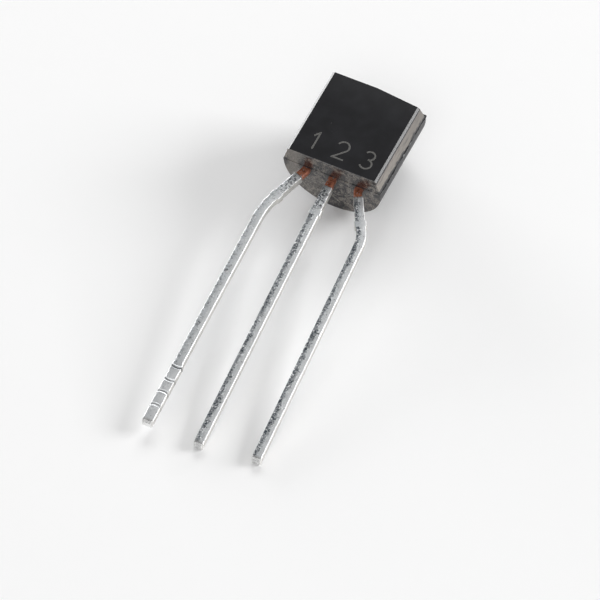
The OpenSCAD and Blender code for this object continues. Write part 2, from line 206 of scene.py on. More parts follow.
class Finishes(bpy.types.PropertyGroup):
    """The colours of every finish."""

    compound: colour("Compound", "Moulding compound", (0.0072, 0.0074, 0.0092))
    # Dust and worn rims; the same colour paints a sheen towards the closed end and highlights on the rims
    compound_dust: colour("Dust", "Dust and worn edges on the compound", (0.20, 0.205, 0.21))
    # Scuffs, and the painted reflection that lightens the sides and the lead face
    compound_scuff: colour("Scuff", "Scuffed sides of the moulding", (0.226, 0.203, 0.178))
    mark: colour("Mark", "Burnt marking strokes", (0.125, 0.122, 0.116))
    tin_light: colour("Tin", "Bright solder coat", (0.70, 0.73, 0.75))
    # Painted highlight colour: glints, and the lighter right of each face
    tin_highlight: colour("Bright tin", "Solder where it glints", (0.93, 0.94, 0.95))
    # Also paints a highlight on the coat's lip at the copper
    tin_pressed_and_highlight: colour("Pressed tin", "Solder that the plier pressed smooth", (0.90, 0.91, 0.92))
    tin_tip: colour("Tips", "Solder smeared over the leads' tips", (0.88, 0.87, 0.85))
    # Smoother solder, warmed and lightened as a painted reflection of the lamps
    tin_edge_and_reflection: colour("Tin edges", "Smooth solder on the strip's narrow faces", (0.68, 0.66, 0.625))
    # Partly a painted reflection of dark surroundings; also the painted shade in the grooves
    tin_dark_and_reflected: colour("Dark tin", "Dark blotches on the solder coat", (0.050, 0.062, 0.078))
    copper: colour("Copper", "Bare copper", (0.78, 0.32, 0.20))
    copper_dark: colour("Dark copper", "Tarnished copper", (0.36, 0.105, 0.06))
    silicon: colour("Silicon", "Polished silicon", (0.16, 0.17, 0.22))
    contact: colour("Contacts", "Contact fingers on the silicon", (0.62, 0.63, 0.66))
    gold: colour("Gold", "Drawn gold wire", (0.92, 0.62, 0.20))
    bond: colour("Bond", "Silver-filled bond", (0.50, 0.50, 0.48))
    floor: colour("Floor", "Pale floor, as it lights the part", (0.90, 0.90, 0.90))
    floor_seen: colour("Seen floor", "The floor, as the camera and shiny surfaces see it", (0.97, 0.97, 0.97))


class Stage(bpy.types.PropertyGroup):
    """Camera, floor and room."""

    azimuth: angle("Camera azimuth", "Heading of the view, turned from +Y towards -X", 32.93)
    elevation: angle("Camera elevation", "How far the camera looks down", 49.38)
    roll: angle("Camera roll", "Turn of the camera about its own axis", 7.64)
    distance: length("Camera distance", "From the camera to the point it looks at", 172.64)
    aim: FloatVectorProperty(name="Aim", description="The point that the camera looks at", size=3,
                             default=(0.233 * MM, -0.345 * MM, 0.0), unit="LENGTH", precision=6)
    lens: number("Lens", "Focal length in millimetres", 240.0)
    floor_size: length("Floor size", "Side of the floor", 6000)
    sky_top: number("Overhead", "Brightness of the room overhead", 0.26)
    sky_edge: number("Horizon", "Brightness of the room at the horizon", 0.85)


class Transistor(bpy.types.PropertyGroup):
    """Everything that the part is built from."""

    moulding: PointerProperty(type=MouldingSizes)
    strip: PointerProperty(type=StripSizes)
    collector: PointerProperty(type=LeadForm)
    base: PointerProperty(type=LeadForm)
    emitter: PointerProperty(type=LeadForm)
    plier: PointerProperty(type=PlierMarks)
    marking: PointerProperty(type=Marking)
    finishes: PointerProperty(type=Finishes)
    stage: PointerProperty(type=Stage)


def form_leads_as_made(model):
    """Sets the three leads' own bends."""
    forms = {
        "collector": dict(place=-1, spread=-19, lean=1.5, dip=2.6, reach=14.15, bend_radius=3, past_stub=0.05,
                          crimp_length=3.1, spangle_and_reflection=0.22, blotch=0.8),
        "base": dict(place=0, spread=2.5, lean=2.5, dip=3.0, reach=14.2, bend_radius=3, past_stub=0.3,
                     spangle_and_reflection=0.9, blotch=0.8),
        "emitter": dict(place=1, spread=30, lean=3.5, dip=2.1, reach=13.95, bend_radius=1.1, past_stub=0.3,
                        spangle_and_reflection=1.0, blotch=0.25),
    }
    for name, values in forms.items():
        form = getattr(model, name)
        for key, value in values.items():
            if key in ("spread", "lean", "dip"):
                setattr(form, key, math.radians(value))
            elif key in ("place", "spangle_and_reflection", "blotch"):
                setattr(form, key, value)
            else:
                setattr(form, key, value * MM)


def in_millimetres(group):
    """A group's sizes, with its lengths in millimetres."""
    found = {}
    for prop in group.bl_rna.properties:
        if prop.type in ("FLOAT", "INT"):
            value = getattr(group, prop.identifier)
            found[prop.identifier] = value / MM if prop.unit == "LENGTH" else value
    return SimpleNamespace(**found)


# ---------------------------------------------------------------- the moulding's own frame

def moulding_frame(moulding):
    """Places millimetres of the moulding's frame in the scene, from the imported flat-face mount."""
    mount = next(m for m in frame["record"]["mounts"] if m["name"] == "flat_face")
    facing = Vector(mount["axis"]).normalized()
    roll = math.asin(facing.x)
    tilt = math.atan2(-facing.y, facing.z)
    turn = Matrix.Rotation(tilt, 4, "X") @ Matrix.Rotation(roll, 4, "Y")
    face_middle = Vector((0, moulding.body_length / 2, moulding.flat_height)) * MM
    origin = Vector(mount["pos_m"]) - turn.to_3x3() @ face_middle
    return Matrix.Translation(origin) @ turn @ Matrix.Scale(MM, 4)


def smooth_step(value, low, high):
    """A smooth rise from 0 to 1 as value goes from low to high."""
    t = min(1.0, max(0.0, (value - low) / (high - low)))
    return t * t * (3 - 2 * t)


def new_object(name, data):
    """An object in the scene's own collection, at the origin."""
    made = bpy.data.objects.new(name, data)
    bpy.context.scene.collection.objects.link(made)
    return made


def evaluated_mesh(source):
    """The object's mesh with its modifiers applied. The object goes."""
    bpy.context.view_layer.update()
    graph = bpy.context.evaluated_depsgraph_get()
    mesh = bpy.data.meshes.new_from_object(source.evaluated_get(graph), depsgraph=graph)
    bpy.data.objects.remove(source)
    return mesh


def open_edges(mesh):
    """How many edges don't join exactly two faces."""
    shape = bmesh.new()
    shape.from_mesh(mesh)
    found = sum(not edge.is_manifold for edge in shape.edges)
    shape.free()
    return found


def combined(mesh, other, operation):
    """An exact boolean of two meshes in millimetres."""
    target = new_object("boolean_target", mesh)
    tool = new_object("boolean_tool", other)
    modifier = target.modifiers.new("Combine", "BOOLEAN")
    modifier.operation = operation
    modifier.solver = "EXACT"
    modifier.object = tool
    result = evaluated_mesh(target)
    bpy.data.objects.remove(tool)
    if len(result.vertices) == 0 or open_edges(result):
        raise RuntimeError("a boolean left nothing, or left open edges")
    return result


def into_mesh(shape, name):
    """A new mesh of what a bmesh holds. The bmesh goes."""
    mesh = bpy.data.meshes.new(name)
    shape.to_mesh(mesh)
    shape.free()
    return mesh


def face_outwards(shape):
    bmesh.ops.recalc_face_normals(shape, faces=shape.faces)


def join_rings(shape, first, second):
    """Builds the walls between two closed rings of points."""
    for i in range(len(first)):
        j = (i + 1) % len(first)
        shape.faces.new((first[i], first[j], second[j], second[i]))


def cut_away(shape, point, normal):
    """Takes off what lies beyond a plane, and closes the cut."""
    everything = shape.verts[:] + shape.edges[:] + shape.faces[:]
    cut = bmesh.ops.bisect_plane(shape, geom=everything, dist=1e-5, plane_co=point, plane_no=normal,
                                 clear_outer=True)
    edges = [item for item in cut["geom_cut"] if isinstance(item, bmesh.types.BMEdge)]
    bmesh.ops.contextual_create(shape, geom=edges)
    face_outwards(shape)


def unevenness(u, v, seed):
    """Smooth noise between -1 and 1, the same on each run."""
    return noise.noise(Vector((u, v, seed)))


def finished_piece(name, mesh, place, material, node=None):
    """Turns a mesh in millimetres into a piece in the scene."""
    mesh.name = name
    mesh.transform(place)
    mesh.materials.clear()
    mesh.materials.append(material)
    mesh.polygons.foreach_set("material_index", [0] * len(mesh.polygons))
    piece = new_object(name, mesh)
    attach(piece, "root")
    if node:
        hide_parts(node)
    return piece


def keep_places(mesh):
    """Stores each point's place in the moulding's frame, for the finishes."""
    layer = mesh.attributes.get("own_mm") or mesh.attributes.new("own_mm", "FLOAT_VECTOR", "POINT")
    flat = [0.0] * (3 * len(mesh.vertices))
    mesh.vertices.foreach_get("co", flat)
    layer.data.foreach_set("vector", flat)


# ---------------------------------------------------------------- node helpers

class Signal:
    """A node's output. Sums, products and comparisons of signals become nodes of their own."""

    def __init__(self, socket):
        self.socket = socket
        self.tree = socket.id_data

    def maths(self, operation, first, second=0.0):
        return put(self.tree, "ShaderNodeMath", {0: first, 1: second}, operation=operation)[0]

    def __add__(self, other):
        return self.maths("ADD", self, other)

    def __radd__(self, other):
        return self.maths("ADD", other, self)

    def __sub__(self, other):
        return self.maths("SUBTRACT", self, other)

    def __rsub__(self, other):
        return self.maths("SUBTRACT", other, self)

    def __mul__(self, other):
        return self.maths("MULTIPLY", self, other)

    def __mod__(self, other):
        return self.maths("FLOORED_MODULO", self, other)

    def __gt__(self, other):
        return self.maths("GREATER_THAN", self, other)

    def __abs__(self):
        return self.maths("ABSOLUTE", self)


class Outputs:
    """A node whose outputs are taken as signals, by name or number."""

    def __init__(self, node):
        self.node = node

    def __getitem__(self, key):
        return Signal(self.node.outputs[key])


def feed(socket, value):
    """Links a signal to an input, or sets the input to a plain value."""
    if isinstance(value, Signal):
        value.tree.links.new(value.socket, socket)
    else:
        socket.default_value = value


def put(tree, kind, inputs=None, **settings):
    """Adds a node. An input's value is a number, a colour or a signal."""
    node = tree.nodes.new(kind)
    for key, value in settings.items():
        setattr(node, key, value)
    for key, value in (inputs or {}).items():
        feed(node.inputs[key], value)
    return Outputs(node)


def larger(first, second):
    """The larger of two signals, or of a signal and a number."""
    return first.maths("MAXIMUM", first, second)


def vectors(operation, first, second=(0, 0, 0), output="Vector"):
    """A sum, a product or the like of two vectors, or the length of one."""
    return put(first.tree, "ShaderNodeVectorMath", {0: first, 1: second}, operation=operation)[output]


def scaled(vector, factor):
    return put(vector.tree, "ShaderNodeVectorMath", {0: vector, "Scale": factor}, operation="SCALE")[0]


def split(vector):
    return put(vector.tree, "ShaderNodeSeparateXYZ", {0: vector})


def joined(tree, *parts):
    """A vector of up to three signals."""
    return put(tree, "ShaderNodeCombineXYZ", dict(enumerate(parts)))[0]


def ramp(value, low, high, start=0.0, end=1.0):
    """A smooth rise from start to end as value goes from low to high."""
    limits = {"Value": value, "From Min": low, "From Max": high, "To Min": start, "To Max": end}
    return put(value.tree, "ShaderNodeMapRange", limits, interpolation_type="SMOOTHSTEP")["Result"]


def grain(vector, scale, detail=2.0, roughness=0.5, distortion=0.0):
    """Smooth noise round a half, with about scale features in a millimetre."""
    return put(vector.tree, "ShaderNodeTexNoise", {
        "Vector": vector, "Scale": scale, "Detail": detail, "Roughness": roughness,
        "Distortion": distortion})[0]


def cellular(vector, scale, **settings):
    """Cells with a random colour each, about scale of them along a millimetre."""
    return put(vector.tree, "ShaderNodeTexVoronoi",
               {"Vector": vector, "Scale": scale, "Randomness": 1.0}, **settings)


def between(factor, first, second):
    """A number between two numbers."""
    return put(factor.tree, "ShaderNodeMix", {0: factor, 2: first, 3: second})[0]


def mixed(factor, first, second):
    """A colour between two colours."""
    first, second = (c if isinstance(c, Signal) else (*c, 1.0) for c in (first, second))
    return put(factor.tree, "ShaderNodeMix", {0: factor, 6: first, 7: second}, data_type="RGBA")[2]


def toned(paint, factor):
    """A darker or lighter colour."""
    return tuple(factor * c for c in paint)


# ---------------------------------------------------------------- the strip's sweep

def strip_sweep():
    """A tree that sweeps a rounded strip along a line of points that carry their own section sizes."""
    if "strip_sweep" in bpy.data.node_groups:
        return bpy.data.node_groups["strip_sweep"]
    tree = bpy.data.node_groups.new("strip_sweep", "GeometryNodeTree")
    add = tree.interface.new_socket
    add("Geometry", in_out="INPUT", socket_type="NodeSocketGeometry")
    add("Section points", in_out="INPUT", socket_type="NodeSocketInt").default_value = 48
    for name, value in {"Corner rounding": 0.25, "Waviness": 0.0, "Wave scale": 3.0, "Seed": 0.0}.items():
        add(name, in_out="INPUT", socket_type="NodeSocketFloat").default_value = value
    add("Material", in_out="INPUT", socket_type="NodeSocketMaterial")
    add("Geometry", in_out="OUTPUT", socket_type="NodeSocketGeometry")
    given = put(tree, "NodeGroupInput")

    def stored(name, kind="FLOAT"):
        return put(tree, "GeometryNodeInputNamedAttribute", {"Name": name}, data_type=kind)[0]

    def captured(geometry, value):
        made = put(tree, "GeometryNodeCaptureAttribute", {"Geometry": geometry}, domain="POINT")
        made.node.capture_items.new("VECTOR", "Value")
        feed(made.node.inputs[1], value)
        return made[0], made[1]

    position = put(tree, "GeometryNodeInputPosition")[0]
    line = put(tree, "GeometryNodeMeshToCurve", {"Mesh": given["Geometry"]})[0]
    line, line_place = captured(line, position)
    ring = put(tree, "GeometryNodeCurvePrimitiveCircle",
               {"Resolution": given["Section points"], "Radius": 1.0})[0]
    inner = 1.0 - given["Corner rounding"]
    inner = joined(tree, inner, inner)
    # The circle becomes a square with rounded corners
    wide = scaled(position, 1.5)
    held = vectors("MAXIMUM", vectors("MINIMUM", wide, inner), scaled(inner, -1.0))
    corner = vectors("NORMALIZE", vectors("SUBTRACT", wide, held))
    rounded = vectors("ADD", held, scaled(corner, given["Corner rounding"]))
    ring, section_place = captured(ring, rounded)
    tube = put(tree, "GeometryNodeCurveToMesh",
               {"Curve": line, "Profile Curve": ring, "Fill Caps": True})[0]

    section = split(section_place)
    above = section["Y"] > 0.0
    half_up = between(above, stored("half_bottom"), stored("half_top"))
    side, up = stored("side", "FLOAT_VECTOR"), stored("up", "FLOAT_VECTOR")
    sideways = scaled(side, section["X"] * stored("half_width"))
    upwards = scaled(up, section["Y"] * half_up)
    place = vectors("ADD", line_place, vectors("ADD", sideways, upwards))
    # Where a line bows, the middle of the section's upper side runs ahead of its rims
    middle = 1.0 - section["X"] * section["X"]
    bowed = middle * stored("bow") * above
    place = vectors("ADD", place, scaled(vectors("CROSS_PRODUCT", side, up), bowed))
    shaped = put(tree, "GeometryNodeSetPosition", {"Geometry": tube, "Position": place})[0]

    waves = put(tree, "ShaderNodeTexNoise",
                {"Vector": position, "W": given["Seed"], "Scale": given["Wave scale"], "Detail": 2.0},
                noise_dimensions="4D")[0]
    depth = waves * given["Waviness"] * stored("wavy")
    inwards = scaled(put(tree, "GeometryNodeInputNormal")[0], depth * -1.0)
    waved = put(tree, "GeometryNodeSetPosition", {"Geometry": shaped, "Offset": inwards})[0]
    for name, value in (("across", section["X"]), ("facing", section["Y"])):
        waved = put(tree, "GeometryNodeStoreNamedAttribute",
                    {"Geometry": waved, "Name": name, "Value": value}, data_type="FLOAT", domain="POINT")[0]
    smooth = put(tree, "GeometryNodeSetShadeSmooth", {"Geometry": waved})[0]
    real = put(tree, "GeometryNodeRealizeInstances", {"Geometry": smooth})[0]
    made = put(tree, "GeometryNodeSetMaterial", {"Geometry": real, "Material": given["Material"]})[0]
    put(tree, "NodeGroupOutput", {"Geometry": made})
    return tree


def with_nodes(mesh, tree, values):
    """The mesh after a Geometry Nodes tree with these named inputs."""
    source = new_object("nodes_source", mesh)
    modifier = source.modifiers.new("Nodes", "NODES")
    modifier.node_group = tree
    for socket in tree.interface.items_tree:
        if socket.in_out == "INPUT" and socket.name in values:
            modifier[socket.identifier] = values[socket.name]
    return evaluated_mesh(source)


def station(place, side, **values):
    """A place on a strip's line, with the section's sizes and the finish's masks there."""
    return SimpleNamespace(place=place, side=(*side, 0.0), up=(0.0, 0.0, 1.0), **values)


def station_line(stations, closed=False):
    """A line of points that carries each station's section sizes."""
    mesh = bpy.data.meshes.new("stations")
    last = len(stations) - 1
    edges = [(i, i + 1) for i in range(last)] + ([(last, 0)] if closed else [])
    mesh.from_pydata([s.place for s in stations], edges, [])
    for name in ("half_width", "half_top", "half_bottom", "wavy", "along", "crimp", "stub", "groove", "tip",
                 "bow"):
        values = [float(getattr(s, name, 0.0)) for s in stations]
        mesh.attributes.new(name, "FLOAT", "POINT").data.foreach_set("value", values)
    for name in ("side", "up"):
        values = [c for s in stations for c in getattr(s, name)]
        mesh.attributes.new(name, "FLOAT_VECTOR", "POINT").data.foreach_set("vector", values)
    return mesh


# ---------------------------------------------------------------- leads

def lead_course(strip, form):
    """A function that gives a lead's plan place and heading at a distance along it, and its whole length."""
    start_x = strip.shift + form.place * strip.pitch
    half = strip.width / 2 + strip.coat
    exit_length = strip.exit_radius * abs(form.spread)
    bend_at = strip.stub_at + strip.stub_length / 2 + form.past_stub
    bend_r = form.bend_radius + half
    bend_length = bend_r * abs(form.lean - form.spread)

    def arc(x, y, radius, first, heading):
        turn = math.copysign(1.0, heading - first) * radius
        return (x + turn * (math.cos(first) - math.cos(heading)),
                y - turn * (math.sin(heading) - math.sin(first)))

    def ahead(x, y, heading, distance):
        return x + distance * math.sin(heading), y - distance * math.cos(heading)

    exit_end = arc(start_x, 0.0, strip.exit_radius, 0.0, form.spread) if form.spread else (start_x, 0.0)
    bend_start = ahead(*exit_end, form.spread, bend_at - exit_length)
    bends = abs(form.lean - form.spread) > 1e-6
    bend_end = arc(*bend_start, bend_r, form.spread, form.lean) if bends else bend_start
    total = bend_at + bend_length + (form.reach + bend_end[1]) / math.cos(form.lean)

    def at(distance):
        if distance < 0:
            return start_x, -distance, 0.0
        if distance < exit_length:
            heading = form.spread * distance / exit_length
            return (*arc(start_x, 0.0, strip.exit_radius, 0.0, heading), heading)
        if distance < bend_at:
            return (*ahead(*exit_end, form.spread, distance - exit_length), form.spread)
        if distance < bend_at + bend_length:
            heading = form.spread + (form.lean - form.spread) * (distance - bend_at) / bend_length
            return (*arc(*bend_start, bend_r, form.spread, heading), heading)
        return (*ahead(*bend_end, form.lean, distance - bend_at - bend_length), form.lean)

    return at, total


def lead_drop(strip, form, y):
    """How far the lead has dropped at a place in front of the moulding."""
    d = max(0.0, -y)
    radius = strip.dip_radius
    if d < radius * math.sin(form.dip):
        return radius - math.sqrt(radius * radius - d * d)
    return radius * (1 - math.cos(form.dip)) + (d - radius * math.sin(form.dip)) * math.tan(form.dip)


def lead_distances(strip, form, plier, total):
    """Distances of the sections: even steps, and closer ones where the section changes."""
    found = {-strip.anchor, -strip.anchor * 0.6, -strip.anchor * 0.2, total}

    def near(middle, offsets):
        found.update(round(middle + offset, 4) for offset in offsets)

    near(0.0, (i * strip.step for i in range(int(total / strip.step) + 1)))
    for edge in (-strip.stub_length / 2, strip.stub_length / 2):
        near(strip.stub_at + edge, (-0.02, -0.01, 0.0, 0.01, 0.02))
    near(strip.bare, (-0.01, 0.0, 0.01, 0.02, 0.035, COAT_RISE))
    near(total, (-ROLL_LENGTH, -0.11, -0.08, -0.055, -0.035, -0.02, -0.008))
    if form.crimp_length > 0:
        reach = plier.groove_radius * LIP_REACH
        beside = [reach + 0.02 * k for k in range(1, 9)]
        for i in range(plier.groove_count):
            middle = total - plier.groove_from - i * plier.groove_pitch
            near(middle, (reach * k / 7 for k in range(-7, 8)))
            near(middle, (sign * offset for offset in beside for sign in (-1, 1)))
    ordered = sorted(found)
    return [d for i, d in enumerate(ordered) if i == 0 or d - ordered[i - 1] > SECTION_GAP]


def plier_grooves(plier, to_tip, deepest):
    """How deep, how shaded and how far bowed the pressed face is, which is already down by deepest."""
    shadow = bow = 0.0
    radius = plier.groove_radius
    full_bow = radius * 1.3
    for i in range(plier.groove_count):
        aside = abs(to_tip - plier.groove_from - i * plier.groove_pitch)
        strength = 1 - plier.groove_fade * (1 - i / max(1, plier.groove_count - 1))
        towards_tip = 1 if 2 * i >= plier.groove_count else -1
        bow += towards_tip * plier.groove_bow * (1 - smooth_step(aside, full_bow, full_bow + BOW_FADE))
        if aside < radius:
            deepest = max(deepest, strength * math.sqrt(radius ** 2 - aside ** 2))
            shadow = strength ** 2 * (1.0 - aside / radius)
        elif aside < radius * LIP_REACH:
            lip = math.sin(math.pi * (aside / radius - 1) / (LIP_REACH - 1))
            deepest -= GROOVE_LIP * strength * lip
    return deepest, shadow, bow


def lead_section(strip, form, plier, distance, total):
    """The lead's half sizes and its finish's masks at a distance from the moulding."""
    coated = smooth_step(distance, strip.bare, strip.bare + COAT_RISE)
    neck = 1 - strip.necking * (1 - coated)
    half_width = strip.width / 2 * neck + strip.coat * coated
    half_bottom = half_top = strip.thickness / 2 * neck + strip.coat * coated
    past_stub = abs(distance - strip.stub_at) - strip.stub_length / 2
    stub = 1 - smooth_step(past_stub, *STUB_CORNERS)
    half_width += strip.stub_out * stub * (1 - STUB_TEAR + STUB_TEAR * math.sin(60 * distance))
    to_tip = total - distance
    crimp = shadow = bow = 0.0
    if form.crimp_length > 0:
        crimp = smooth_step(form.crimp_length - to_tip, *PRESS_RISE)
        half_width += plier.spread / 2 * crimp
        deepest, shadow, bow = plier_grooves(plier, to_tip, plier.thin * crimp)
        half_top -= deepest
    # The cutter rolls the end over: the top drops, and the sides draw in
    rolled = 1 - smooth_step(to_tip, 0.0, ROLL_LENGTH)
    half_top -= ROLL_DROP * rolled ** 1.6
    half_width -= ROLL_DRAW * rolled ** 2
    # The held end is drawn in, so that it ends inside the piece it joins
    drawn = 1 - 0.08 * smooth_step(-distance, 0.06, 0.16)
    return dict(half_width=half_width * drawn, half_top=half_top * drawn, half_bottom=half_bottom * drawn,
                wavy=0.15 + 0.85 * coated * (1 - 0.5 * crimp), along=distance, crimp=crimp, stub=stub,
                groove=shadow, bow=bow, tip=1 - smooth_step(to_tip, *TIP_SMEAR))


def lead_stations(strip, form, plier):
    """The stations of a lead, from its held end to its tip."""
    at, total = lead_course(strip, form)
    stations = []
    for distance in lead_distances(strip, form, plier, total):
        x, y, heading = at(distance)
        section = lead_section(strip, form, plier, distance, total)
        stations.append(station((x, y, -lead_drop(strip, form, y)),
                                (math.cos(heading), math.sin(heading)), **section))
    return stations


def cad_copy(node, place):
    """A clean copy of a CAD node, in millimetres of the moulding's frame."""
    mesh = frame["nodes"][node].data.copy()
    mesh.transform(place.inverted())
    mesh.materials.clear()
    shape = bmesh.new()
    shape.from_mesh(mesh)
    bmesh.ops.remove_doubles(shape, verts=shape.verts, dist=0.0005)
    bmesh.ops.dissolve_limit(shape, angle_limit=math.radians(0.5), verts=shape.verts, edges=shape.edges)
    shape.to_mesh(mesh)
    shape.free()
    return mesh


def inside_part(node, place, strip):
    """The part of a lead that the moulding holds, cut off just inside the lead face."""
    shape = bmesh.new()
    shape.from_mesh(cad_copy(node, place))
    cut_away(shape, (0, strip.anchor - HELD_BACK, 0), (0, -1, 0))
    return into_mesh(shape, "inside_part")


def build_lead(name, model, place, material):
    """The formed lead outside the moulding, joined to its part inside."""
    strip = in_millimetres(model.strip)
    form = in_millimetres(getattr(model, name))
    plier = in_millimetres(model.plier)
    line = station_line(lead_stations(strip, form, plier))
    swept = with_nodes(line, strip_sweep(), {
        "Corner rounding": 0.24, "Section points": strip.section_points, "Waviness": strip.waviness,
        "Wave scale": 2.6, "Seed": 3.0 + form.place, "Material": material})
    whole = combined(swept, inside_part(f"{name}_lead", place, strip), "UNION")
    keep_places(whole)
    return whole


# ---------------------------------------------------------------- moulding

def moulding_sizes(model):
    """The moulding's sizes, with the half widths and heights that its outline turns on."""
    sizes = in_millimetres(model.moulding)
    sizes.part_z = in_millimetres(model.strip).thickness / 2
    sizes.half = sizes.width / 2
    sizes.foot_x = sizes.half - sizes.side_lean
    sizes.foot_z = sizes.flat_height - sizes.bevel_drop
    sizes.flat_half = sizes.foot_x - sizes.bevel_in
    return sizes


def moulding_section(sizes):
    """The moulding's outline, from the left parting line over the flat face and round the back."""
    foot = Vector((sizes.foot_x, sizes.foot_z))
    head = Vector((sizes.flat_half, sizes.flat_height))
    shelf = head + Vector((sizes.shelf_run, -sizes.shelf_drop))
    right = [Vector((sizes.half, sizes.part_z)), foot, shelf, head]
    left = [Vector((-p.x, p.y)) for p in right]
    turns = [math.pi * i / sizes.back_steps for i in range(sizes.back_steps + 1)]
    back = [Vector((sizes.half * math.cos(turn), -sizes.half * math.sin(turn))) for turn in turns]
    return left + right[::-1] + back


def moulding_shell(sizes):
    """The outside of the moulding as a closed mesh."""
    section = moulding_section(sizes)
    slope = math.tan(sizes.end_draft)
    drafts = [slope * abs(p.y - sizes.part_z) for p in section]
    shape = bmesh.new()
    near = [shape.verts.new((p.x, draft, p.y)) for p, draft in zip(section, drafts)]
    far = [shape.verts.new((p.x, sizes.body_length - draft, p.y)) for p, draft in zip(section, drafts)]
    join_rings(shape, near, far)
    front_count = len(section) - (sizes.back_steps + 1)
    for ring, turn in ((near, -1), (far, 1)):
        back = [ring[front_count - 1], *ring[front_count:], ring[0]]
        for points in (ring[:front_count], back):
            shape.faces.new(points[::turn])
    face_outwards(shape)
    wear_corner(shape, sizes, slope)
    sharp = [edge for edge in shape.edges if edge.calc_face_angle(0.0) > ROUNDED_ANGLE]
    bmesh.ops.bevel(shape, geom=sharp, offset=sizes.edge_round, offset_type="OFFSET", segments=3, profile=0.5,
                    affect="EDGES", clamp_overlap=True)
    return into_mesh(shape, "moulding_shell")


def wear_corner(shape, sizes, slope):
    """Cuts the flat face's corner back at the closed end, in a long thin taper."""
    far_y = sizes.body_length - slope * (sizes.flat_height - sizes.part_z)
    heading = Matrix.Rotation(-math.atan(sizes.runoff / sizes.flat_half), 3, "Z")
    turn = heading @ Matrix.Rotation(sizes.runoff_lean, 3, "X")
    cut_away(shape, (0, far_y, sizes.flat_height), turn @ Vector((0, 1, 0)))


def gate_stub(sizes):
    """The rough broken end of the gate on the closed end."""
    shape = bmesh.new()
    across, upward = 24, 8
    rows = []
    for j in range(upward + 1):
        z = sizes.part_z + sizes.gate_height * (j / upward - 0.5)
        row = []
        for i in range(across + 1):
            x = sizes.gate_width * (i / across - 0.5)
            y = sizes.body_length + sizes.gate_out * (0.62 + 0.38 * unevenness(x * 9, z * 14, 4.0))
            row.append(shape.verts.new((x, y, z)))
        rows.append(row)
    for lower, upper in zip(rows, rows[1:]):
        for i in range(across):
            shape.faces.new((lower[i], lower[i + 1], upper[i + 1], upper[i]))
    rising, falling = [row[-1] for row in rows[1:-1]], [row[0] for row in rows[-2:0:-1]]
    rim = rows[0] + rising + rows[-1][::-1] + falling
    root = [shape.verts.new((vert.co.x, sizes.body_length - GATE_ROOT, vert.co.z)) for vert in rim]
    join_rings(shape, rim, root)
    shape.faces.new(root)
    face_outwards(shape)
    return into_mesh(shape, "gate_stub")


def seam_cutter(sizes, side):
    """A thin wedge along the foot of a bevel."""
    # The wedge's mouth lies a little outside the skin, so it is wider than the seam
    mouth_x = sizes.foot_x + 0.03
    mouth_half = sizes.seam_width / 2 * 1.6
    wedge = [(sizes.foot_x - sizes.seam_depth, sizes.foot_z), (mouth_x, sizes.foot_z + mouth_half),
             (mouth_x, sizes.foot_z - mouth_half)]
    shape = bmesh.new()
    near, far = ([shape.verts.new((side * x, y, z)) for x, z in wedge]
                 for y in (-CUTTER_MARGIN, sizes.body_length + CUTTER_MARGIN))
    shape.faces.new(near)
    shape.faces.new(far)
    join_rings(shape, near, far)
    face_outwards(shape)
    return into_mesh(shape, "seam_cutter")


def ejector_cutter(sizes):
    """A flat-ended pin with a chamfered end and a flared rim."""
    radius = sizes.ejector_diameter / 2
    top = -sizes.half + sizes.ejector_depth
    turns = [2 * math.pi * i / 72 for i in range(72)]
    shape = bmesh.new()
    rings = []
    # Each ring's extra radius, and its distance below the pin's end
    for wider, lower in ((-0.03, 0.0), (0.0, 0.02), (0.0, 0.09), (0.05, 0.3)):
        r = radius + wider
        rings.append([shape.verts.new((r * math.cos(turn), sizes.body_length / 2 + r * math.sin(turn),
                                       top - lower)) for turn in turns])
    for first, second in zip(rings, rings[1:]):
        join_rings(shape, first, second)
    shape.faces.new(rings[0])
    shape.faces.new(rings[-1])
    face_outwards(shape)
    return into_mesh(shape, "ejector_cutter")


def soft_shaded(mesh):
    """Smooth shading that keeps flat faces flat."""
    mesh.polygons.foreach_set("use_smooth", [True] * len(mesh.polygons))
    mesh.set_sharp_from_angle(angle=SHARP_ANGLE)
    source = new_object("shading_source", mesh)
    modifier = source.modifiers.new("Weighted", "WEIGHTED_NORMAL")
    modifier.mode = "FACE_AREA"
    modifier.weight = 80
    modifier.keep_sharp = True
    return evaluated_mesh(source)


def flash_stations(sizes, strip):
    """Points round the parting line, each with its own ragged reach."""
    left, right, far = -sizes.half, sizes.half, sizes.body_length
    corners = [Vector(spot) for spot in ((left, 0), (right, 0), (right, far), (left, far))]
    stations = []
    for i, (a, b) in enumerate(zip(corners, corners[1:] + corners[:1])):
        along = (b - a).normalized()
        outwards = Vector((along.y, -along.x))
        most = sizes.flash_burr if i == 1 else sizes.flash_out
        steps = int((b - a).length / strip.step)
        for k in range(steps):
            t = k / steps
            place = a.lerp(b, t)
            out = outwards if k else (outwards - along).normalized()
            ragged = unevenness(place.x * 2.3, place.y * 2.3, 7.0)
            fine = unevenness(place.x * 11, place.y * 11, 2.0)
            reach = most * min(1.0, max(0.12, 0.50 + 0.75 * ragged + 0.50 * fine))
            middle = place + out * (reach - FLASH_ROOT) / 2
            stations.append(station((middle.x, middle.y, sizes.part_z), out, wavy=1.0, along=i + t,
                                    half_width=(reach + FLASH_ROOT) / 2,
                                    half_top=sizes.flash_thickness / 2,
                                    half_bottom=sizes.flash_thickness / 2))
    return stations


# ---------------------------------------------------------------- pin numbers

def arc_points(x, y, radius, start, end, squash=1.0):
    """Points about nine degrees apart on an arc."""
    steps = max(4, int(abs(end - start) / 9))
    angles = [math.radians(start + (end - start) * i / steps) for i in range(steps + 1)]
    return [(x + radius * math.cos(a), y + squash * radius * math.sin(a)) for a in angles]


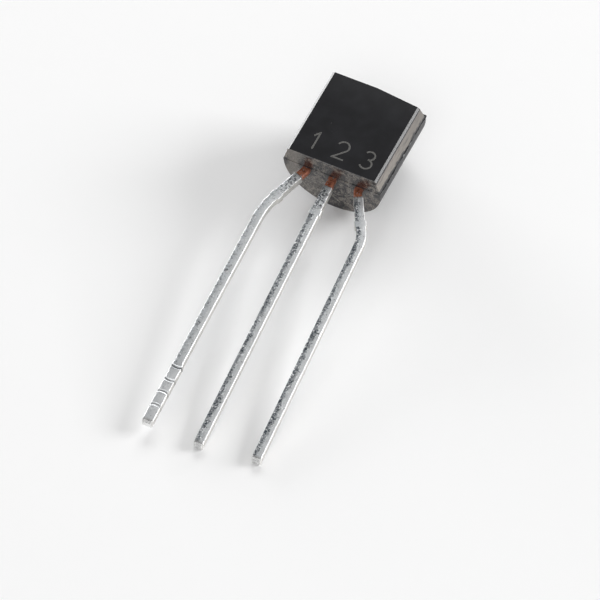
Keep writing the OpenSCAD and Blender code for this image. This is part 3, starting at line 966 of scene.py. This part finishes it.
def digit_strokes(digit):
    """A digit's strokes in a box 0.6 wide and 1 high."""
    if digit == 1:
        return [[(0.12, 0.74), (0.34, 1.0), (0.34, 0.0)]]
    if digit == 2:
        return [arc_points(0.3, 0.71, 0.29, 165, -38) + [(0.02, 0.0), (0.6, 0.0)]]
    return [arc_points(0.28, 0.76, 0.25, 150, -90, 0.96), arc_points(0.28, 0.265, 0.29, 92, -150, 0.92)]


def stroke_line(points, step):
    """Even points along a broken line."""
    found = [Vector(points[0])]
    for a, b in zip(points, points[1:]):
        a, b = Vector(a), Vector(b)
        steps = max(1, int((b - a).length / step))
        found += [a.lerp(b, (k + 1) / steps) for k in range(steps)]
    return found


def stroke_stations(points, marking, sizes):
    """Stations of one stroke on the flat face, with mitred corners and a ragged width."""
    stations = []
    for i, here in enumerate(points):
        before = points[i - 1] if i else here
        after = points[i + 1] if i + 1 < len(points) else here
        a = (here - before).normalized() if i else (after - here).normalized()
        b = (after - here).normalized() if i + 1 < len(points) else a
        along = (a + b).normalized()
        side = Vector((along.y, -along.x))
        mitre = 1 / max(0.5, abs(side.dot(Vector((a.y, -a.x)))))
        ragged = 1 + 0.16 * unevenness(here.x * 16, here.y * 16, 1.0)
        stations.append(station((here.x, here.y, sizes.flat_height), side, wavy=0.0, along=i,
                                half_width=marking.stroke / 2 * mitre * ragged,
                                half_top=marking.raised, half_bottom=marking.raised))
    return stations


# ---------------------------------------------------------------- finishes

def new_material(name):
    """A material, its node tree and its surface node."""
    material = bpy.data.materials.new(name)
    material.use_nodes = True
    tree = material.node_tree
    surface = next(node for node in tree.nodes if node.type == "BSDF_PRINCIPLED")
    return material, tree, surface


def own_places(tree):
    """Millimetres in the moulding's frame."""
    return put(tree, "ShaderNodeAttribute", attribute_name="own_mm")["Vector"]


def object_places(tree):
    """Millimetres in the piece's own coordinates."""
    place = put(tree, "ShaderNodeTexCoord")["Object"]
    return put(tree, "ShaderNodeMapping", {"Vector": place, "Scale": (1 / MM, 1 / MM, 1 / MM)})[0]


def attribute(tree, name):
    return put(tree, "ShaderNodeAttribute", attribute_name=name)["Fac"]


def bump(height, distance, normal=None):
    """A bump whose full height is a distance in millimetres."""
    inputs = {"Height": height, "Distance": distance * MM, "Strength": 1.0}
    if normal is not None:
        inputs["Normal"] = normal
    return put(height.tree, "ShaderNodeBump", inputs)[0]


def wire(surface, **sockets):
    """Links or sets the surface's inputs."""
    for name, value in sockets.items():
        feed(surface.inputs[name.replace("_", " ")], value)


def dust_specks(place, fine):
    """Scattered specks, one in some of the cells."""
    cells = cellular(place, 3.1)
    chosen = ramp(split(cells["Color"])["X"], 0.4, 0.9)
    reach = cells["Distance"] + (fine - 0.5) * 0.06
    return ramp(reach, 0.02, 0.045, 1.0, 0.0) * chosen


def side_scuff_and_reflection(place, xyz, sizes):
    """Sides scuffed on the way out of the mould, down to a ragged end above the parting line, and lightened
    with a painted reflection.
    """
    streaks = put(place.tree, "ShaderNodeMapping",
                  {"Vector": place, "Rotation": (0.5, 0.0, 0.0), "Scale": (1.0, 0.55, 4.2)})[0]
    scuff_and_reflection = ramp(grain(streaks, 2.2, 4.0, 0.6, 0.6), 0.3, 0.52, 0.5, 1.0)
    wide = ramp(abs(xyz["X"]), sizes.foot_x - 0.012, sizes.foot_x + 0.004)
    below = ramp(xyz["Z"], sizes.foot_z, sizes.foot_z - 0.02)
    fading = ramp(xyz["Y"], 0.0, sizes.body_length, 1.0, 0.72)
    jagged = (grain(place, 2.4, 3.0, 0.6) - 0.5) * 0.42
    above = ramp(xyz["Z"] + jagged, sizes.part_z + 0.115, sizes.part_z + 0.155)
    return scuff_and_reflection * (wide * below) * fading * above


def rim_wear_and_highlights(place, xyz, sizes):
    """A nicked edge along the lead face's top, and chips on the parting ridge: partly wear, partly a painted
    highlight on the edge and painted glints on the flash.
    """
    edge_y = ramp(xyz["Y"], 0.075, 0.03, 0.0, 1.0)
    edge_z = ramp(xyz["Z"], sizes.flat_height - 0.05, sizes.flat_height - 0.02)
    nicks = ramp(grain(place, 7.0, 3.0, 0.7), 0.36, 0.6, 0.35, 1.0)
    ridge = ramp(abs(xyz["X"]), sizes.half - 0.005, sizes.half + 0.012)
    chips = ramp(grain(place, 4.5, 3.0, 0.7), 0.56, 0.62)
    return larger(edge_y * edge_z * nicks * 0.85, ridge * chips)


def lead_face_film_and_reflection(place, xyz, cloud, erosion, strip):
    """Stains and mottles on the lead face, palest on its left, with clear rings round the leads; its paleness
    is partly a painted reflection.
    """
    cracks = cellular(place, 5.5, feature="DISTANCE_TO_EDGE")["Distance"]
    stain = ramp(cracks + erosion * 0.1, 0.06, 0.14, 0.65, 0.0)
    stain = stain * ramp(xyz["Z"], strip.thickness / 2 - 0.02, strip.thickness / 2 + 0.01)
    film_and_reflection = ramp(grain(place, 4.2, 4.0, 0.68, 0.8), 0.46, 0.58, 0.0, 0.9)
    film_and_reflection = larger(film_and_reflection * ramp(erosion, 0.4, 0.6, 0.55, 1.25), stain * 0.6)
    low = abs(xyz["X"] - xyz["Z"] * 0.35 + 0.35 + cloud * 0.5)
    low = ramp(low, 0.3, 0.75, 0.42, 0.0) * ramp(xyz["Z"], -0.25, -0.5)
    film_and_reflection = film_and_reflection + low * ramp(erosion, 0.35, 0.65, 0.6, 1.2)
    lobe = ramp(xyz["X"] + cloud * 0.8, -1.35, -0.75, 0.75, 0.0)
    film_and_reflection = larger(film_and_reflection, lobe * ramp(erosion, 0.35, 0.65, 0.95, 1.25))
    aside = (xyz["X"] - (strip.shift - strip.pitch / 2)) % strip.pitch - strip.pitch / 2
    upward = (xyz["Z"] - 0.12) * 0.75
    from_lead = vectors("LENGTH", joined(place.tree, aside, upward), output="Value") + erosion * 0.16
    return film_and_reflection * (ramp(from_lead, 0.36, 0.58, 0.1, 1.0) * 0.84)


def compound_finish(model):
    """Black moulding compound: polished in front, spark-eroded on the back, dusty, scuffed and worn, with
    painted reflections on its sides and lead face, a painted sheen towards the closed end and painted
    highlights on its rims.
    """
    sizes = moulding_sizes(model)
    finishes = model.finishes
    material, tree, surface = new_material("moulding_compound")
    place = own_places(tree)
    xyz = split(place)
    back = ramp(xyz["Z"], sizes.part_z - 0.02, sizes.part_z + 0.01, 1.0, 0.0)
    depth = xyz["Y"] - abs(xyz["Z"] - sizes.part_z) * math.tan(sizes.end_draft)
    front = ramp(depth, 0.03, 0.012)
    cloud = grain(place, 1.1, 3.0, 0.55)
    fine = grain(place, 34.0, 2.0, 0.6)
    erosion = grain(place, 15.0, 3.0, 0.6)
    # Pale dust specks, and rims that are partly worn and partly painted highlights and glints
    pale = larger(dust_specks(place, fine) * 0.8, rim_wear_and_highlights(place, xyz, sizes))
    shade = mixed(ramp(cloud, 0.3, 0.7), toned(finishes.compound, 0.75), toned(finishes.compound, 1.3))
    # Painted sheen: the flat face lightens towards the closed end, standing in for light it reflects there
    painted_sheen = ramp(xyz["Y"], sizes.body_length - 1.9, sizes.body_length, 0.0, 0.05)
    shade = mixed(painted_sheen, shade, finishes.compound_dust)
    paint = mixed(pale, shade, finishes.compound_dust)
    film_and_reflection = lead_face_film_and_reflection(place, xyz, cloud, erosion, in_millimetres(model.strip))
    # Painted reflection: the sides and the lead face are lightened with the scuff colour, over real scuffs
    # and stains
    scuff_and_reflection = larger(side_scuff_and_reflection(place, xyz, sizes) * 0.95, film_and_reflection * front)
    paint = mixed(scuff_and_reflection, paint, finishes.compound_scuff)
    # The polished front half, then the back, the lead face, the bevels and the worn spots
    rough = ramp(cloud, 0.35, 0.75, 0.125, 0.155) + fine * 0.05
    rough = between(back, rough, erosion * 0.16 + 0.42)
    rough = between(front, rough, fine * 0.12 + 0.22)
    facet = ramp(abs(xyz["X"]), sizes.flat_half, sizes.flat_half + 0.012)
    facet = facet * ramp(xyz["Z"], sizes.foot_z - 0.03, sizes.foot_z - 0.02)
    dull = ramp(xyz["Z"], sizes.foot_z + 0.03, sizes.flat_height - sizes.shelf_drop, 0.6, 0.26)
    rough = between(facet, rough, dull)
    rough = between(pale, rough, 0.6)
    wobble = bump(grain(place, 1.6, 2.0), 0.0035)
    skin = bump(fine, 0.00035, wobble)
    normal = bump(erosion * back, 0.006, skin)
    wire(surface, Base_Color=paint, Roughness=rough, Normal=normal, IOR=1.62)
    return material


def mark_finish(model):
    """Burnt strokes: pale grey, matt and speckled."""
    material, tree, surface = new_material("burnt_mark")
    place = own_places(tree)
    speckle = grain(place, 22.0, 3.0, 0.7)
    light = tuple(model.finishes.mark)
    paint = mixed(ramp(speckle, 0.32, 0.62), toned(light, 0.42), light)
    rough = ramp(speckle, 0.3, 0.7, 0.75, 0.5)
    wire(surface, Base_Color=paint, Roughness=rough, Normal=bump(speckle, 0.004), IOR=1.5)
    return material


def strip_finish(name, model, form):
    """Solder-coated copper strip: dark-grained and bright tin, partly painted reflections and highlights,
    bare copper at the moulding.
    """
    finishes = model.finishes
    light, dark = tuple(finishes.tin_light), tuple(finishes.tin_dark_and_reflected)
    strip = in_millimetres(model.strip)
    material, tree, surface = new_material(name)
    place = own_places(tree)
    along, across, facing, crimp, stub, tip, groove = (
        attribute(tree, key) for key in ("along", "across", "facing", "crimp", "stub", "tip", "groove"))
    above = ramp(facing, 0.5, 0.9, 0.25, 1.0)
    smeared = larger(larger(crimp, stub), tip)
    patches = grain(place, 6.0, 4.0, 0.65, 0.3)
    # The solder is dark-grained on the left of the top face, in a band that wanders; the dark grain and
    # blotches are partly a painted reflection of dark surroundings
    wander = (grain(place, 1.3, 3.0, 0.6) - 0.5) * 2.6 + (patches - 0.5) * 1.5
    band = ramp(across + wander, -0.55, 0.35, 1.0, 0.0) * form.spangle_and_reflection
    near = ramp(along, strip.stub_at - 0.1, strip.stub_at - 0.3)
    near = near * ramp(along, strip.bare + 0.02, strip.bare + 0.34, 0.25, 1.0) * form.blotch
    zone = larger(band, near * 0.45) * (above * (1.0 - smeared))
    # Its mid-grey ground, dark patches, fine dark grains, painted glints, and streaks along the strip
    ground = ramp(patches + zone * 0.3, 0.52, 0.72)
    patch = ramp(patches + near * 0.12, 0.6, 0.66) * larger(near, band * 0.7)
    chance = split(cellular(place, 19.0)["Color"])
    speck = grain(place, 17.0, 3.0, 0.6)
    odds = zone * 0.48 + 0.012 + (speck - 0.5) * 0.55
    pepper = ramp(odds - chance["X"], -0.02, 0.07)
    painted_glint = ramp(chance["Y"] + near * 0.22, 0.9, 0.93)
    frost = ramp(grain(place, 18.0, 3.0, 0.65), 0.38, 0.62)
    lane = joined(tree, across * 0.22, along * 0.1, facing * 0.22)
    streak = ramp(grain(lane, 26.0, 3.0, 0.6), 0.36, 0.64)
    tin = mixed(ground, light, tuple(0.42 * a + 0.3 * b for a, b in zip(light, dark)))
    tin = mixed(frost * 0.14, tin, toned(light, 0.5))
    tin = mixed(streak * 0.24, tin, toned(light, 0.5))
    # Painted highlight: each face lightens towards its right, as a crowned coat catches the light there
    tin = mixed(ramp(across, -0.5, 0.85, 0.0, 0.75), tin, finishes.tin_highlight)
    blotch = larger(pepper, patch)
    tin = mixed(blotch * 0.86, tin, dark)
    tin = mixed(painted_glint * 0.85, tin, finishes.tin_highlight)
    # The coat's thick lip at the copper with a painted highlight, the pressed faces, the narrow faces with a
    # painted reflection, the tip, and painted shade in the grooves
    # Painted highlight: a pale band where the coat starts at the copper
    lip = ramp(along, strip.bare + 0.05, strip.bare + 0.32, 0.45, 0.0)
    tin = mixed(larger(lip, crimp * 0.5), tin, finishes.tin_pressed_and_highlight)
    # Painted reflection: the narrow faces take a warm, pale tone, as if lit by the side lamps
    edge = ramp(abs(across), 0.88, 0.98) * ramp(frost, 0.0, 1.0, 0.95, 0.65)
    tin = mixed(edge, tin, finishes.tin_edge_and_reflection)
    tin = mixed(tip * 0.6, tin, finishes.tin_tip)
    # Painted shade in the plier's grooves
    tin = mixed(groove, tin, toned(dark, 0.6))
    # Bare copper, with splashes of solder and a ragged start of the coat
    uneven = (grain(place, 9.0, 3.0, 0.6) - 0.5) * 0.16
    coated = ramp(along + uneven, strip.bare - 0.012, strip.bare + 0.012)
    tarnish = ramp(grain(place, 7.0, 4.0, 0.6), 0.44, 0.7)
    copper = mixed(tarnish, finishes.copper, finishes.copper_dark)
    copper = mixed(ramp(chance["Z"], 0.93, 0.95) * 0.8, copper, light)
    paint = mixed(coated, copper, tin)
    tin_rough = between(blotch, 0.4, 0.3) + frost * 0.08 - tip * 0.16
    rough = between(coated, 0.42, tin_rough)
    calm = ramp(zone, 0.05, 0.5, 0.3, 1.0) * (1.0 - tip)
    pits = bump(speck * calm, 0.01)
    scored = bump(streak, 0.0025, pits)
    normal = bump(frost * calm, 0.0035, scored)
    wire(surface, Base_Color=paint, Roughness=rough, Metallic=1.0, Normal=normal)
    return material


def plain_metal(name, paint, roughness, fine_scale):
    """A metal with fine tone and roughness changes, on the piece's own coordinates."""
    material, tree, surface = new_material(name)
    place = object_places(tree)
    speckle = grain(place, fine_scale, 3.0, 0.6)
    shade = mixed(ramp(speckle, 0.3, 0.7), toned(paint, 0.7), tuple(paint))
    rough = ramp(speckle, 0.3, 0.7, roughness * 0.8, roughness * 1.3)
    wire(surface, Base_Color=shade, Roughness=rough, Metallic=1.0, Normal=bump(speckle, 0.002))
    return material


def silicon_finish(model):
    """Polished silicon with a square grid of contact fingers."""
    material, tree, surface = new_material("polished_silicon")
    place = object_places(tree)
    fingers = put(tree, "ShaderNodeTexWave", {"Vector": place, "Scale": 6.0}, wave_profile="TRI")["Fac"]
    lines = ramp(fingers, 0.62, 0.7)
    paint = mixed(lines, model.finishes.silicon, model.finishes.contact)
    rough = ramp(fingers, 0.62, 0.7, 0.1, 0.32)
    wire(surface, Base_Color=paint, Roughness=rough, Metallic=0.8, Normal=bump(lines, 0.001))
    return material


# ---------------------------------------------------------------- stage

def area_lamp(name, direction, distance, width, height, radiance):
    """A soft rectangular lamp that shines at the part."""
    data = bpy.data.lights.new(name, "AREA")
    data.shape = "RECTANGLE"
    data.size = width
    data.size_y = height
    data.energy = math.pi * width * height * radiance
    lamp = new_object(name, data)
    towards = Vector(direction).normalized()
    lamp.location = towards * distance
    lamp.rotation_mode = "QUATERNION"
    lamp.rotation_quaternion = towards.to_track_quat("Z", "Y")
    return lamp


def room_light(stage):
    """A room that is pale at the horizon and dim overhead."""
    world = bpy.data.worlds.new("studio_room")
    bpy.context.scene.world = world
    world.use_nodes = True
    tree = world.node_tree
    background = next(node for node in tree.nodes if node.type == "BACKGROUND")
    facing = put(tree, "ShaderNodeTexCoord")["Generated"]
    height = split(facing)["Z"]
    horizon, overhead = 0.1, 0.62
    level = ramp(height, horizon, overhead, stage.sky_edge, stage.sky_top)
    tone = put(tree, "ShaderNodeCombineColor", {0: level, 1: level, 2: level})[0]
    wire(background, Color=tone, Strength=1.0)


def floor_finish(model):
    """A pale matt floor that looks a little whiter than it lights the part."""
    material, tree, surface = new_material("pale_floor")
    place = put(tree, "ShaderNodeTexCoord")["Object"]
    rays = put(tree, "ShaderNodeLightPath")
    mirrored = larger(rays["Is Glossy Ray"], rays["Is Transmission Ray"])
    seen = larger(rays["Is Camera Ray"], mirrored)
    floor, floor_seen = model.finishes.floor, model.finishes.floor_seen
    lit = mixed(seen, floor, floor_seen)
    dulled = mixed(seen, toned(floor, 0.99), toned(floor_seen, 0.99))
    paint = mixed(grain(place, 900.0, 2.0), dulled, lit)
    wire(surface, Base_Color=paint, Roughness=0.75)
    return material


def floor_mesh(size):
    """A flat square floor with its top at zero."""
    shape = bmesh.new()
    bmesh.ops.create_grid(shape, x_segments=8, y_segments=8, size=size / 2)
    return into_mesh(shape, "floor")


# ---------------------------------------------------------------- operators

class TransistorOperator:
    """What every operator of the part shares."""

    bl_options = {"REGISTER", "UNDO"}

    def model(self, context):
        return context.scene.transistor


class TRANSISTOR_OT_leads(TransistorOperator, bpy.types.Operator):
    """Form the three leads from their stations"""

    bl_idname = "transistor.leads"
    bl_label = "Form Leads"

    def execute(self, context):
        model = self.model(context)
        place = moulding_frame(in_millimetres(model.moulding))
        for name in LEAD_NAMES:
            finish = strip_finish(f"{name}_strip", model, getattr(model, name))
            mesh = build_lead(name, model, place, finish)
            finished_piece(f"{name}_lead_formed", mesh, place, finish, f"{name}_lead")
        return {"FINISHED"}


class TRANSISTOR_OT_moulding(TransistorOperator, bpy.types.Operator):
    """Mould the body round the leads and the sealed pieces"""

    bl_idname = "transistor.moulding"
    bl_label = "Mould Body"

    def execute(self, context):
        model = self.model(context)
        sizes = moulding_sizes(model)
        place = moulding_frame(sizes)
        mesh = combined(moulding_shell(sizes), gate_stub(sizes), "UNION")
        mesh = combined(mesh, ejector_cutter(sizes), "DIFFERENCE")
        for side in (-1, 1):
            mesh = combined(mesh, seam_cutter(sizes, side), "DIFFERENCE")
        for name in LEAD_NAMES:
            lead = context.scene.objects[f"{name}_lead_formed"].data.copy()
            lead.transform(place.inverted())
            mesh = combined(mesh, lead, "DIFFERENCE")
        for node in SEALED_NODES:
            sealed = cad_copy(node, place)
            sealed.transform(Matrix.Translation((0, 0, -SEALED_DROP)))
            mesh = combined(mesh, sealed, "DIFFERENCE")
        mesh = soft_shaded(mesh)
        keep_places(mesh)
        finished_piece("moulded_body", mesh, place, compound_finish(model), "body")
        return {"FINISHED"}


class TRANSISTOR_OT_flash(TransistorOperator, bpy.types.Operator):
    """Run ragged flash round the parting line"""

    bl_idname = "transistor.flash"
    bl_label = "Add Flash"

    def execute(self, context):
        model = self.model(context)
        sizes = moulding_sizes(model)
        place = moulding_frame(sizes)
        finish = bpy.data.materials["moulding_compound"]
        line = station_line(flash_stations(sizes, in_millimetres(model.strip)), closed=True)
        mesh = with_nodes(line, strip_sweep(), {
            "Corner rounding": 0.4, "Section points": 16, "Waviness": 0.004, "Wave scale": 20.0, "Seed": 9.0,
            "Material": finish})
        keep_places(mesh)
        finished_piece("parting_flash", mesh, place, finish)
        return {"FINISHED"}


class TRANSISTOR_OT_numbers(TransistorOperator, bpy.types.Operator):
    """Mark the pin numbers on the flat face"""

    bl_idname = "transistor.numbers"
    bl_label = "Mark Pin Numbers"

    def execute(self, context):
        model = self.model(context)
        sizes = moulding_sizes(model)
        strip = in_millimetres(model.strip)
        marking = in_millimetres(model.marking)
        place = moulding_frame(sizes)
        finish = mark_finish(model)
        strokes = bmesh.new()
        for digit in (1, 2, 3):
            left = (digit - 2) * strip.pitch + strip.shift - 0.3 * marking.height
            for points in digit_strokes(digit):
                spots = [Vector((left + u * marking.height, marking.from_edge + v * marking.height))
                         for u, v in points]
                stations = stroke_stations(stroke_line(spots, STROKE_STEP), marking, sizes)
                strokes.from_mesh(with_nodes(station_line(stations), strip_sweep(), {
                    "Corner rounding": 0.3, "Section points": 12, "Material": finish}))
        mesh = into_mesh(strokes, "pin_numbers")
        keep_places(mesh)
        finished_piece("pin_numbers", mesh, place, finish)
        return {"FINISHED"}


class TRANSISTOR_OT_sealed(TransistorOperator, bpy.types.Operator):
    """Give the sealed die, bond and wires their finishes"""

    bl_idname = "transistor.sealed"
    bl_label = "Finish Sealed Pieces"

    def execute(self, context):
        finishes = self.model(context).finishes
        gold = plain_metal("drawn_gold", finishes.gold, 0.18, 30.0)
        bond = plain_metal("silver_bond", finishes.bond, 0.5, 40.0)
        chosen = {"silicon_die": silicon_finish(self.model(context)), "die_attach": bond,
                  "base_bond_wire": gold, "emitter_bond_wire": gold}
        for node, material in chosen.items():
            mesh = frame["nodes"][node].data
            mesh.materials.clear()
            mesh.materials.append(material)
        return {"FINISHED"}


class TRANSISTOR_OT_stage(TransistorOperator, bpy.types.Operator):
    """Set the floor, the lamps and the camera"""

    bl_idname = "transistor.stage"
    bl_label = "Set Stage"

    def execute(self, context):
        model = self.model(context)
        stage = model.stage
        floor = new_object("pale_floor", floor_mesh(stage.floor_size))
        floor.data.materials.append(floor_finish(model))
        for lamp in LAMPS:
            area_lamp(*lamp)
        room_light(stage)
        self.add_camera(context, stage)
        context.scene.view_settings.view_transform = "Standard"
        return {"FINISHED"}

    def add_camera(self, context, stage):
        data = bpy.data.cameras.new("studio_camera")
        data.lens = stage.lens
        data.clip_start = 10 * MM
        data.clip_end = 10.0
        camera = new_object("studio_camera", data)
        level = math.cos(stage.elevation)
        towards = Vector((-math.sin(stage.azimuth) * level, math.cos(stage.azimuth) * level,
                          -math.sin(stage.elevation)))
        look = towards.to_track_quat("-Z", "Y")
        camera.rotation_mode = "QUATERNION"
        camera.rotation_quaternion = Quaternion(towards, stage.roll) @ look
        camera.location = Vector(stage.aim) - towards * stage.distance
        context.scene.camera = camera


class TRANSISTOR_PT_panel(bpy.types.Panel):
    """Sizes, colours and steps of the transistor"""

    bl_idname = "TRANSISTOR_PT_panel"
    bl_label = "Moulded Transistor"
    bl_space_type = "VIEW_3D"
    bl_region_type = "UI"
    bl_category = "Transistor"

    def draw(self, context):
        model = context.scene.transistor
        for operator in OPERATORS:
            self.layout.operator(operator.bl_idname)
        for name in ("moulding", "strip", *LEAD_NAMES, "plier", "marking", "finishes", "stage"):
            box = self.layout.box()
            box.label(text=name.replace("_", " ").capitalize())
            group = getattr(model, name)
            for prop in group.bl_rna.properties:
                if prop.identifier not in ("rna_type", "name"):
                    box.prop(group, prop.identifier)


GROUPS = (MouldingSizes, StripSizes, LeadForm, PlierMarks, Marking, Finishes, Stage, Transistor)
OPERATORS = (TRANSISTOR_OT_leads, TRANSISTOR_OT_moulding, TRANSISTOR_OT_flash, TRANSISTOR_OT_numbers,
             TRANSISTOR_OT_sealed, TRANSISTOR_OT_stage)


def register():
    for cls in (*GROUPS, *OPERATORS, TRANSISTOR_PT_panel):
        bpy.utils.register_class(cls)
    bpy.types.Scene.transistor = PointerProperty(type=Transistor)


def unregister():
    del bpy.types.Scene.transistor
    for cls in (TRANSISTOR_PT_panel, *reversed(OPERATORS), *reversed(GROUPS)):
        bpy.utils.unregister_class(cls)


def main():
    """Builds the part and its stage."""
    register()
    form_leads_as_made(bpy.context.scene.transistor)
    bpy.ops.transistor.leads()
    bpy.ops.transistor.moulding()
    bpy.ops.transistor.flash()
    bpy.ops.transistor.numbers()
    bpy.ops.transistor.sealed()
    bpy.ops.transistor.stage()


if __name__ == "__main__":
    main()
